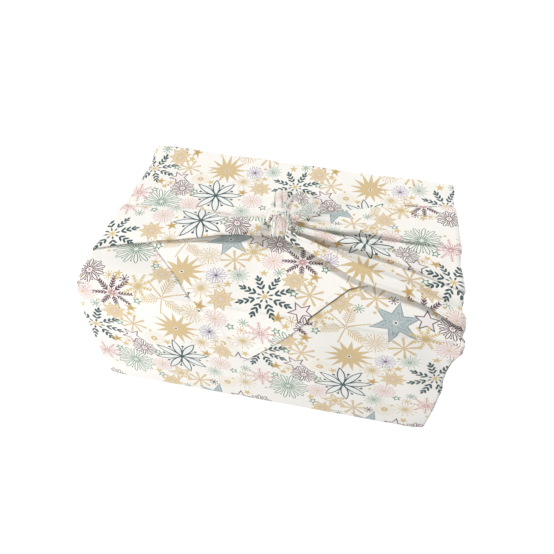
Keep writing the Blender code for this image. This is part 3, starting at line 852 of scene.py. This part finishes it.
TILE = 147 * MM  # the print's repeat, each way
GRAIN = (1500.0, 520.0, 0.0)  # how many times a metre the uneven ink changes, along and across
PRINT_SHIFT = (90 * MM, 132 * MM)  # leaves the free tips mostly plain
GROUND = (0.77, 0.75, 0.708)
GOLD = (0.55, 0.42, 0.23)
YELLOW = (0.58, 0.45, 0.22)
LIGHT_GOLD = (0.59, 0.465, 0.29)
OCHRE = (0.44, 0.288, 0.096)
TEAL = (0.045, 0.086, 0.092)
DENIM = (0.39, 0.445, 0.45)
PLUM = (0.125, 0.066, 0.08)
PINK = (0.624, 0.424, 0.4)
ROSE = (0.544, 0.304, 0.296)
GREEN = (0.12, 0.235, 0.15)
LAVENDER = (0.432, 0.392, 0.464)
THREAD = (0.62, 0.60, 0.56)
PARCEL_SHADE = (0.05, 0.045, 0.04)  # painted shade for cloth that lies in one layer, partly standing for what is wrapped showing through
# How far cloth in one layer is darkened: painted shade, partly standing for the parcel showing through.
SHADE_IN_ONE_LAYER = 0.035
MIX_PLACES = ("FLOAT", "VECTOR", "RGBA")  # the order of a mix node's sockets


class Value:
    """A number inside a material. Arithmetic on it makes the nodes."""

    tree = None

    def __init__(self, socket):
        self.socket = socket

    __abs__ = lambda self: maths("ABSOLUTE", self)
    __add__ = lambda self, other: maths("ADD", self, other)
    __sub__ = lambda self, other: maths("SUBTRACT", self, other)
    __rsub__ = lambda self, other: maths("SUBTRACT", other, self)
    __mul__ = lambda self, other: maths("MULTIPLY", self, other)
    __truediv__ = lambda self, other: maths("DIVIDE", self, other)
    __lt__ = lambda self, other: maths("LESS_THAN", self, other)
    __gt__ = lambda self, other: maths("GREATER_THAN", self, other)


def feed(node, place, value):
    """Joins a Value to a node's input, or sets that input to a plain number or vector."""
    if isinstance(value, Value):
        Value.tree.links.new(value.socket, node.inputs[place])
    else:
        node.inputs[place].default_value = value


def feed_all(node, values):
    """Feeds several inputs by name."""
    for place, value in values.items():
        feed(node, place, value)


def added(kind, **settings):
    """A new node of a kind, with its settings."""
    node = Value.tree.nodes.new("ShaderNode" + kind)
    for name, setting in settings.items():
        setattr(node, name, setting)
    return node


def combined(kind, operation, values):
    """A node that does one operation on some values."""
    node = added(kind, operation=operation)
    for place, value in enumerate(values):
        feed(node, place, value)
    return node


def maths(operation, *values):
    return Value(combined("Math", operation, values).outputs[0])


def vectors(operation, *values):
    given = "Value" if operation == "LENGTH" else "Vector"
    return Value(combined("VectorMath", operation, values).outputs[given])


def mixed(kind, share, first, second):
    """Between two numbers, vectors or colours, by a share from 0 to 1."""
    node = added("Mix", data_type=kind)
    at = MIX_PLACES.index(kind)
    feed(node, 0, share)
    for place, value in enumerate((first, second), 2 * at + 2):
        plain = kind == "RGBA" and not isinstance(value, Value)
        feed(node, place, (*value, 1.0) if plain else value)
    return Value(node.outputs[at])


def parts(vector):
    """The first two numbers of a vector, one by one."""
    split = added("SeparateXYZ")
    feed(split, 0, vector)
    return Value(split.outputs[0]), Value(split.outputs[1])


def cloth_map(name):
    return Value(added("UVMap", uv_map=name).outputs[0])


def most(first, *others):
    for other in others:
        first = maths("MAXIMUM", first, other)
    return first


def once(draw):
    """Lets a spot keep what it has drawn, so that the same form makes its nodes once."""

    def kept(spot, *sizes):
        if (draw, sizes) not in spot.drawn:
            spot.drawn[draw, sizes] = draw(spot, *sizes)
        return spot.drawn[draw, sizes]

    return kept


class Spot:
    """The place inside one motif: how far from its middle, where its rim is 1, and the angle round it."""

    def __init__(self, out, angle, grain):
        self.out, self.angle, self.grain = out, angle, grain
        self.drawn = {}

    @once
    def arms(self, count, shift=0):
        """Folds the motif into one arm: how far along the arm, and how far beside it."""
        half = math.pi / count
        angle = maths("WRAP", self.angle + shift * half, half, -half)
        return self.out * maths("COSINE", angle), self.out * abs(maths("SINE", angle))

    @once
    def star(self, points, notch):
        """Below 0 inside a star of straight-sided points, whose notches lie at that share of its reach."""
        along, beside = self.arms(points)
        half = math.pi / points
        across, down = notch * math.sin(half), 1 - notch * math.cos(half)
        size = math.hypot(across, down)
        return (along - 1) * (across / size) + beside * (down / size)

    @once
    def petal(self, count, start, end, fat):
        """How far beside a lens-shaped petal's rim: below 0 inside it."""
        along, beside = self.arms(count)
        share = (along - start) / (end - start)
        return beside - share * (1.0 - share) * (4 * fat)

    @once
    def loop(self, count, start, end, fat):
        """The same for a long petal with a round end."""
        along, beside = self.arms(count)
        share = most((along - start) / (end - start), 0.0)
        return beside - share * maths("SQRT", most(1.0 - share, 0.0)) * (2.6 * fat)

    def leaves(self, arms, start, end, pitch, reach, fat):
        """Arms with pairs of slanting leaves, of that pitch, reach and half width."""
        along, beside = self.arms(arms)
        slant = along - beside
        place = maths("WRAP", slant - start, pitch, 0.0) - pitch / 2
        share = (beside + 0.03) / (reach * 1.25 + 0.03 - along * (reach * 0.5))
        return (abs(place) < share * (1.0 - share) * (4 * fat)) * (slant > start) * (slant < end)

    def dot(self, count, at, size, shift=0):
        """A dot on each arm."""
        along, beside = self.arms(count, shift)
        away = along - at
        return (away * away + beside * beside) < size * size

    def rays(self, count, start, end, half, bead=0.0, shift=0):
        """Straight thin rays, with a bead at each end where asked."""
        along, beside = self.arms(count, shift)
        found = (beside < half) * (along > start) * (along < end)
        return most(found, self.dot(count, end, bead, shift)) if bead else found

    def club(self, count, half, end, bead):
        """Rays that widen towards a round end."""
        along, beside = self.arms(count)
        return most((beside < along * 0.08 + half) * (along < end), self.dot(count, end, bead))

    def streaks(self, count):
        """Pencil streaks that run out along each arm."""
        along, beside = self.arms(count)
        return (maths("SINE", beside * 60.0 + along * 14.0) > 0.35) * (self.grain > 0.45)

    def beads(self, often):
        """Round a ring, every other stretch of it."""
        return maths("SINE", self.angle * often) > -0.3


def line(away, half):
    return abs(away) < half


class Motif(NamedTuple):
    copies: int  # in one repeat
    radius: float  # in millimetres
    arms: int
    between: float  # how far in the cloth shows between the arms, as a share of the radius
    layers: Callable  # for a spot, gives where each colour lies, from the lowest to the topmost


MOTIFS = {
    "laurel flake": Motif(1, 25.0, 8, 0.62, lambda spot: [
        (spot.leaves(8, 0.27, 0.84, 0.185, 0.15, 0.068), TEAL),
        (spot.petal(8, 0.80, 1.0, 0.042) < 0, TEAL),
        (spot.petal(8, 0.13, 0.30, 0.034) < 0, TEAL),
        (spot.rays(8, 0.0, 0.15, 0.020), YELLOW),
    ]),
    "sun star": Motif(1, 21.0, 13, 0.72, lambda spot: [
        (spot.star(13, 0.45) < 0, GOLD),
        ((spot.star(13, 0.45) < -0.02) * (spot.grain > 0.58), (0.62, 0.47, 0.24)),
        (spot.out < 0.085, GROUND),
        (spot.out < 0.050, PLUM),
    ]),
    "drawn flower": Motif(1, 25.0, 8, 0.66, lambda spot: [
        (spot.petal(8, 0.04, 1.0, 0.125) < 0, (0.72, 0.73, 0.705)),
        (line(spot.petal(8, 0.04, 1.0, 0.125), 0.021), TEAL),
        (spot.rays(8, 0.05, 0.66, 0.012, 0.05, 1), TEAL),
        (spot.out < 0.06, TEAL),
    ]),
    "denim star": Motif(1, 22.0, 6, 0.50, lambda spot: [
        (spot.star(6, 0.43) < 0, DENIM),
        ((spot.star(6, 0.43) < -0.03) * spot.streaks(6), (0.235, 0.28, 0.285)),
        ((spot.star(6, 0.43) < -0.03) * (spot.grain > 0.60), (0.50, 0.56, 0.57)),
        (line(spot.star(6, 0.43) + 0.012, 0.013), (0.24, 0.29, 0.30)),
        (spot.star(6, 0.5) < -0.35, GROUND),
        (spot.out < 0.045, TEAL),
    ]),
    "green flower": Motif(1, 19.0, 12, 0.90, lambda spot: [
        (line(spot.loop(12, 0.12, 1.0, 0.080), 0.020), GREEN),
        (spot.rays(12, 0.48, 0.84, 0.014, 0.042, 1), GREEN),
        (spot.out < 0.10, (0.64, 0.66, 0.57)),
    ]),
    "fir flake": Motif(1, 20.5, 6, 0.45, lambda spot: [
        (spot.leaves(3, 0.12, 0.88, 0.115, 0.27, 0.030), GOLD),
        (spot.rays(6, 0.03, 0.97, 0.019), GOLD),
        (spot.rays(3, 0.10, 1.0, 0.030, 0, 1) * (maths("SINE", spot.out * 55.0) > -0.2), GOLD),
    ]),
    "plum flake": Motif(1, 18.0, 8, 0.55, lambda spot: [
        (spot.leaves(8, 0.22, 0.93, 0.145, 0.15, 0.054), PLUM),
        (spot.rays(8, 0.05, 0.97, 0.020), PLUM),
        (spot.rays(8, 0.03, 0.28, 0.026, 0, 1), ROSE),
    ]),
    "pink flake": Motif(1, 14.0, 8, 0.70, lambda spot: [
        (spot.leaves(8, 0.30, 0.92, 0.20, 0.16, 0.042), PINK),
        (spot.rays(8, 0.06, 0.98, 0.026), ROSE),
        (spot.rays(8, 0.10, 0.50, 0.024, 0, 1), ROSE),
    ]),
    "blotted burst": Motif(1, 13.0, 12, 0.84, lambda spot: [
        (spot.petal(12, 0.05, 1.0, 0.034) < 0, GOLD),
        (spot.rays(12, 0.12, 0.76, 0.014, 0.060, 1), LIGHT_GOLD),
        (spot.out < 0.08, (0.68, 0.60, 0.44)),
    ]),
    "pink burst": Motif(3, 12.0, 12, 0.84, lambda spot: [
        (spot.petal(12, 0.10, 1.0, 0.040) < 0, PINK),
        (spot.rays(12, 0.14, 0.74, 0.014, 0.060, 1), PINK),
        (spot.out < 0.12, LIGHT_GOLD),
    ]),
    "gold drawn star": Motif(1, 13.5, 5, 0.50, lambda spot: [
        ((spot.star(5, 0.42) < 0) * (spot.grain > 0.52), LIGHT_GOLD),
        (line(spot.star(5, 0.42) + 0.025, 0.030), GOLD),
        (line(spot.star(5, 0.42) + 0.11, 0.020), GOLD),
        (spot.out < 0.22, YELLOW),
    ]),
    "daisy": Motif(3, 12.5, 8, 0.70, lambda spot: [
        (spot.club(8, 0.035, 0.88, 0.105), LIGHT_GOLD),
        (spot.rays(8, 0.1, 0.6, 0.016), GOLD),
    ]),
    "loop burst": Motif(2, 12.0, 10, 0.88, lambda spot: [
        (line(spot.loop(10, 0.16, 1.0, 0.105), 0.034) * (spot.out > 0.20), PLUM),
        (spot.rays(10, 0.52, 0.84, 0.020, 0.060, 1), PLUM),
        (spot.rays(10, 0.0, 0.10, 0.05), ROSE),
    ]),
    "fretted star": Motif(3, 12.0, 9, 0.80, lambda spot: [
        (spot.star(9, 0.60) < 0, LIGHT_GOLD),
        (spot.dot(9, 0.66, 0.050), (0.70, 0.62, 0.48)),
        (line(spot.star(9, 0.60) + 0.15, 0.022) * (spot.grain > 0.45), (0.70, 0.62, 0.48)),
        (spot.out < 0.15, (0.68, 0.63, 0.55)),
        (line(spot.out - 0.10, 0.022), ROSE),
    ]),
    "drawn star": Motif(2, 11.0, 5, 0.50, lambda spot: [
        (spot.star(5, 0.45) < 0, (0.75, 0.70, 0.68)),
        (line(spot.star(5, 0.45) + 0.035, 0.040), PLUM),
    ]),
    "gold flake": Motif(2, 12.5, 8, 0.70, lambda spot: [
        (spot.leaves(8, 0.30, 0.92, 0.22, 0.18, 0.055), YELLOW),
        (spot.rays(8, 0.0, 1.0, 0.042), YELLOW),
        (spot.rays(8, 0.0, 0.44, 0.036, 0, 1), GOLD),
    ]),
    "gold burst": Motif(2, 11.0, 12, 0.86, lambda spot: [
        (spot.rays(12, 0.08, 0.90, 0.024, 0.060), GOLD),
        (spot.rays(12, 0.08, 0.62, 0.020, 0, 1), GOLD),
        (spot.out < 0.18, YELLOW),
    ]),
    "green burst": Motif(2, 9.5, 12, 0.80, lambda spot: [
        (spot.rays(12, 0.10, 1.0, 0.020), GREEN),
        (spot.rays(12, 0.30, 0.74, 0.026, 0, 1), (0.29, 0.42, 0.31)),
        (line(spot.out - 0.12, 0.045), GREEN),
    ]),
    "halo": Motif(2, 9.0, 0, 1.0, lambda spot: [
        *((line(spot.out - at, 0.042) * spot.beads(22.0), (0.66, 0.55, 0.36)) for at in (0.52, 0.72, 0.92)),
        (spot.out < 0.36, LIGHT_GOLD),
        (line(spot.out - 0.22, 0.07), GOLD),
        (spot.out < 0.09, GROUND),
    ]),
    "lavender flower": Motif(1, 9.0, 7, 0.86, lambda spot: [
        (line(spot.loop(7, 0.08, 1.0, 0.13), 0.045), LAVENDER),
        (spot.rays(7, 0.1, 0.88, 0.030, 0.08, 1), LAVENDER),
        (spot.out < 0.13, PLUM),
    ]),
    "tall gold star": Motif(3, 6.6, 5, 0.50, lambda spot: [
        (spot.star(5, 0.38) < 0, GOLD),
        (spot.star(5, 0.38) < -0.14, OCHRE),
    ]),
    "small green burst": Motif(3, 4.8, 9, 0.9, lambda spot: [(spot.rays(9, 0.12, 0.9, 0.06, 0.10), GREEN)]),
    "small gold burst": Motif(4, 4.8, 9, 0.9, lambda spot: [(spot.rays(9, 0.0, 0.9, 0.065, 0.11), GOLD)]),
    "plum burst": Motif(2, 4.4, 8, 0.9, lambda spot: [(spot.rays(8, 0.0, 0.84, 0.07, 0.14), PLUM)]),
    "gold star": Motif(8, 4.4, 5, 0.6, lambda spot: [(spot.star(5, 0.40) < 0, YELLOW)]),
    "green star": Motif(6, 4.2, 5, 0.7, lambda spot: [(line(spot.star(5, 0.45) + 0.06, 0.10), GREEN)]),
    "gold dot": Motif(9, 1.5, 0, 1.0, lambda spot: [(spot.out < 0.9, YELLOW)]),
}
CLOSE = 0.90  # how close two motifs may come, as a share of their reach
ROUNDS = 700
APART = 0.62  # how far alike motifs keep apart, as a share of an even spread


def reach(motif, radius, angle):
    """How far a motif reaches in a direction."""
    if motif.arms == 0:
        return radius
    return radius * (motif.between + (1 - motif.between) * (0.5 + 0.5 * math.cos(motif.arms * angle)))


def across_tile(places):
    """From each place to each other, the short way round the repeat, and how far that is."""
    gap = places[:, None] - places[None]
    gap -= TILE * np.round(gap / TILE)
    return gap, np.linalg.norm(gap, axis=2)


def layout():
    """Places the motifs in the repeat, which joins itself on all sides. They push and turn each other."""
    chance = random.Random(83)
    names = [name for name, motif in MOTIFS.items() for _ in range(motif.copies)]
    kinds = [MOTIFS[name] for name in names]
    radii = np.array([motif.radius * MM for motif in kinds])
    places = np.array([[chance.uniform(0, TILE), chance.uniform(0, TILE)] for _ in kinds])
    turns = np.array([chance.uniform(0, 2 * math.pi) for _ in kinds])
    reaches = radii * [0.5 + 0.5 * motif.between for motif in kinds]
    copies = np.array([motif.copies for motif in kinds])
    alike = np.equal.outer(names, names) * APART * TILE / np.sqrt(np.maximum(copies, 2))
    for turn in range(ROUNDS):
        gap, away = across_tile(places)
        away += 1e-9
        need = np.maximum((reaches[:, None] + reaches[None]) * CLOSE, alike)
        push = np.clip(need - away, 0, None)
        np.fill_diagonal(push, 0)
        share = radii[None] ** 2 / (radii[:, None] ** 2 + radii[None] ** 2)
        places = places + (gap / away[..., None] * (push * share)[..., None]).sum(axis=1) * 0.3
        calm = max(0.0, 1 - turn / (0.7 * ROUNDS))
        places += np.array([[chance.gauss(0, 1), chance.gauss(0, 1)] for _ in kinds]) * calm * 1.4 * MM
    gap, away = across_tile(places)
    towards = np.arctan2(-gap[..., 1], -gap[..., 0])
    for _ in range(4):
        for i, motif in enumerate(kinds):
            near = [j for j in range(len(kinds)) if j != i and away[i, j] < radii[i] + radii[j]]
            best = None
            for step in range(12):
                turned = turns[i] + 2 * math.pi * step / 12 / max(motif.arms, 1)
                clash = 0.0
                for j in near:
                    mine = reach(motif, radii[i], towards[i, j] + turned)
                    other = reach(kinds[j], radii[j], towards[j, i] + turns[j])
                    clash += max(0.0, mine + other - away[i, j]) ** 2
                if best is None or clash < best[0]:
                    best = (clash, turned)
            turns[i] = best[1]
    found = {}
    for name, radius, place, turned in zip(names, radii, places, turns):
        found.setdefault(name, []).append((radius, place % TILE, turned))
    return found


def print_group():
    """The print and its uneven ink at each place of the flat cloth, as one node."""
    tree = bpy.data.node_groups.new("print", "ShaderNodeTree")
    tree.interface.new_socket("Colour", in_out="OUTPUT", socket_type="NodeSocketColor")
    tree.interface.new_socket("Grain", in_out="OUTPUT", socket_type="NodeSocketFloat")
    Value.tree = tree
    place = vectors("ADD", cloth_map("Cloth"), (*PRINT_SHIFT, 0.0))
    noise = added("TexNoise")
    feed_all(noise, {"Scale": 1.0, "Detail": 2.0, "Vector": vectors("MULTIPLY", place, GRAIN)})
    grain = Value(noise.outputs["Fac"])
    colour = None
    for name, spots in layout().items():
        local, turned = None, None
        for radius, at, angle in spots:
            away = vectors("SUBTRACT", place, (*at, 0.0))
            here = vectors("WRAP", away, (TILE / 2,) * 3, (-TILE / 2,) * 3)
            if local is None:
                local, turned = here, angle
            else:
                inside = vectors("LENGTH", here) < radius * 1.02
                local = mixed("VECTOR", inside, local, here)
                turned = mixed("FLOAT", inside, turned, angle)
        along, across = parts(local)
        angle = maths("ARCTAN2", across, along) + turned
        spot = Spot(vectors("LENGTH", local) * (1 / radius), angle, grain)
        inside = spot.out < 1.02
        for where, ink in MOTIFS[name].layers(spot):
            cover = where * inside * (grain * 0.4 + 0.82)
            colour = mixed("RGBA", cover, GROUND if colour is None else colour, ink)
    feed_all(tree.nodes.new("NodeGroupOutput"), {"Colour": colour, "Grain": grain})
    return tree


def matter(name):
    """A new material and its shader."""
    made = bpy.data.materials.new(name)
    made.use_nodes = True
    Value.tree = made.node_tree
    return made, made.node_tree.nodes["Principled BSDF"]


def cotton(name, print_nodes, strength, one_layer_shade=0.0):
    """Printed cotton: the print, the weave, the row of stitches along each hem, and painted shade for cloth
    that lies in one layer.
    """
    material, shader = matter(name)
    group = added("Group", node_tree=print_nodes)
    colour, grain = Value(group.outputs[0]), Value(group.outputs[1])
    if strength < 1:
        colour = mixed("RGBA", strength, GROUND, colour)
    # Painted shade: cloth that lies in one layer is darkened towards a dark colour.
    if one_layer_shade:
        colour = mixed("RGBA", one_layer_shade, colour, PARCEL_SHADE)
    a, b = parts(cloth_map("Cloth"))
    turn = 2 * math.pi / WEAVE / math.sqrt(2)
    weave = maths("SINE", (a + b) * turn) * maths("SINE", (b - a) * turn)
    away, along = parts(cloth_map("Hem"))
    seam = abs(away - (HEM_WIDE - STITCH_IN)) < STITCH_HALF
    stitch = seam * (maths("SINE", along * (2 * math.pi / STITCH)) > -0.45)
    bump = added("Bump")
    height = weave * 0.35 + grain * 0.8 + stitch * 1.2
    feed_all(bump, {"Strength": 0.22, "Distance": 0.12 * MM, "Height": height})
    looks = {
        "Base Color": mixed("RGBA", stitch * 0.4, colour, THREAD),
        "Normal": Value(bump.outputs[0]),
        "Roughness": grain * 0.14 + 0.78,
        "Sheen Weight": 0.12,
        "Sheen Roughness": 0.5,
        "Specular IOR Level": 0.25,
    }
    feed_all(shader, looks)
    return material


# ---------------------------------------------------------------- scene

FLOOR_HALF = 6.0


def add(name, data):
    """Puts a mesh, a lamp or a camera in the scene."""
    thing = bpy.data.objects.new(name, data)
    bpy.context.scene.collection.objects.link(thing)
    return thing


def build_wrap():
    cloth = Cloth()
    wrapped_cloth(cloth)
    for side in (-1, 1):
        for face in (-1, 1):
            corner_gusset(cloth, side, face)
        flap_side(cloth, side, -1, TOP - STEP)
        flap_side(cloth, side, 1, TOP)
    tail(cloth, band_section, -1, 7 * MM)
    tail(cloth, fan_section, 1, 4 * MM)
    for seed, bunched in enumerate(STRANDS.values(), 1):
        strand(cloth, *bunched, seed)
    for seed, (rows, side) in enumerate(zip(TIPS.values(), (-1, 1))):
        free_tip(cloth, rows, side, seed)
    wrap = add("furoshiki_wrap", cloth.mesh("furoshiki_wrap", settled))
    print_nodes = print_group()
    wrap.data.materials.append(cotton("printed_cotton", print_nodes, 1.0))
    wrap.data.materials.append(cotton("cotton_back", print_nodes, BACK_INK))
    # The third material darkens cloth that lies in one layer: painted shade.
    wrap.data.materials.append(cotton("cotton_alone_shaded", print_nodes, 1.0, SHADE_IN_ONE_LAYER))
    return wrap


def point(thing, right, up, back, place):
    """Turns a lamp or a camera so that it looks away from back, and puts it in place."""
    thing.matrix_world = Matrix([*zip(right, up, back, place), (0, 0, 0, 1)])


def light(name, place, aim, size, power):
    lamp = bpy.data.lights.new(name, "AREA")
    lamp.shape = "DISK"
    lamp.size = size
    lamp.energy = power
    back = unit(np.subtract(place, aim))
    right = unit(np.cross([0, 0, 1], back))
    point(add(name, lamp), right, np.cross(back, right), back, place)


def set_floor():
    floor = bpy.data.meshes.new("studio_floor")
    corners = [(x * FLOOR_HALF, y * FLOOR_HALF, 0) for x, y in ((-1, -1), (1, -1), (1, 1), (-1, 1))]
    floor.from_pydata(corners, [], [(0, 1, 2, 3)])
    paper, shader = matter("studio_floor")
    looks = {
        "Base Color": (0.1, 0.1, 0.1, 1),
        "Roughness": 0.95,
        "Specular IOR Level": 0.0,
        "Emission Color": (1, 1, 1, 1),
        "Emission Strength": 0.97,
    }
    feed_all(shader, looks)
    floor.materials.append(paper)
    stage = add("studio_floor", floor)
    stage.location = (0, 0, -0.2 * MM)


def set_scene():
    set_floor()
    world = bpy.data.worlds.new("studio")
    bpy.context.scene.world = world
    world.use_nodes = True
    feed_all(world.node_tree.nodes["Background"], {"Color": (1, 1, 1, 1), "Strength": 0.27})
    light("key", (-0.66, -0.66, 0.50), aim=(0, 0, 0.05), size=0.4, power=9.2)
    light("back", (0.5, 0.9, 1.25), aim=(0, 0, 0.1), size=0.5, power=20.4)
    lens = bpy.data.cameras.new("camera")
    lens.lens = 32.44
    lens.sensor_width = 36
    lens.clip_start = 0.01
    camera = add("camera", lens)
    right = (0.9817, 0.1893, 0.0187)
    up = (-0.1508, 0.7149, 0.6827)
    back = (0.1159, -0.6731, 0.7304)
    point(camera, right, up, back, (0.0531, -0.3370, 0.4334))
    bpy.context.scene.camera = camera
    bpy.context.scene.view_settings.view_transform = "Standard"


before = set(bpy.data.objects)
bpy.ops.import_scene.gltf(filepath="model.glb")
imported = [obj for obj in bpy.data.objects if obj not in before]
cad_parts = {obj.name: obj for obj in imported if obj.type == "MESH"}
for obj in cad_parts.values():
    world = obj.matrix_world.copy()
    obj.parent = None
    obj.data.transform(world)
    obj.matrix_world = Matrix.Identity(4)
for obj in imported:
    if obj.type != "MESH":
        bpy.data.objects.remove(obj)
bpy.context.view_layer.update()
wrap = build_wrap()
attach(wrap, "root")
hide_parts("furoshiki_cloth")
set_scene()
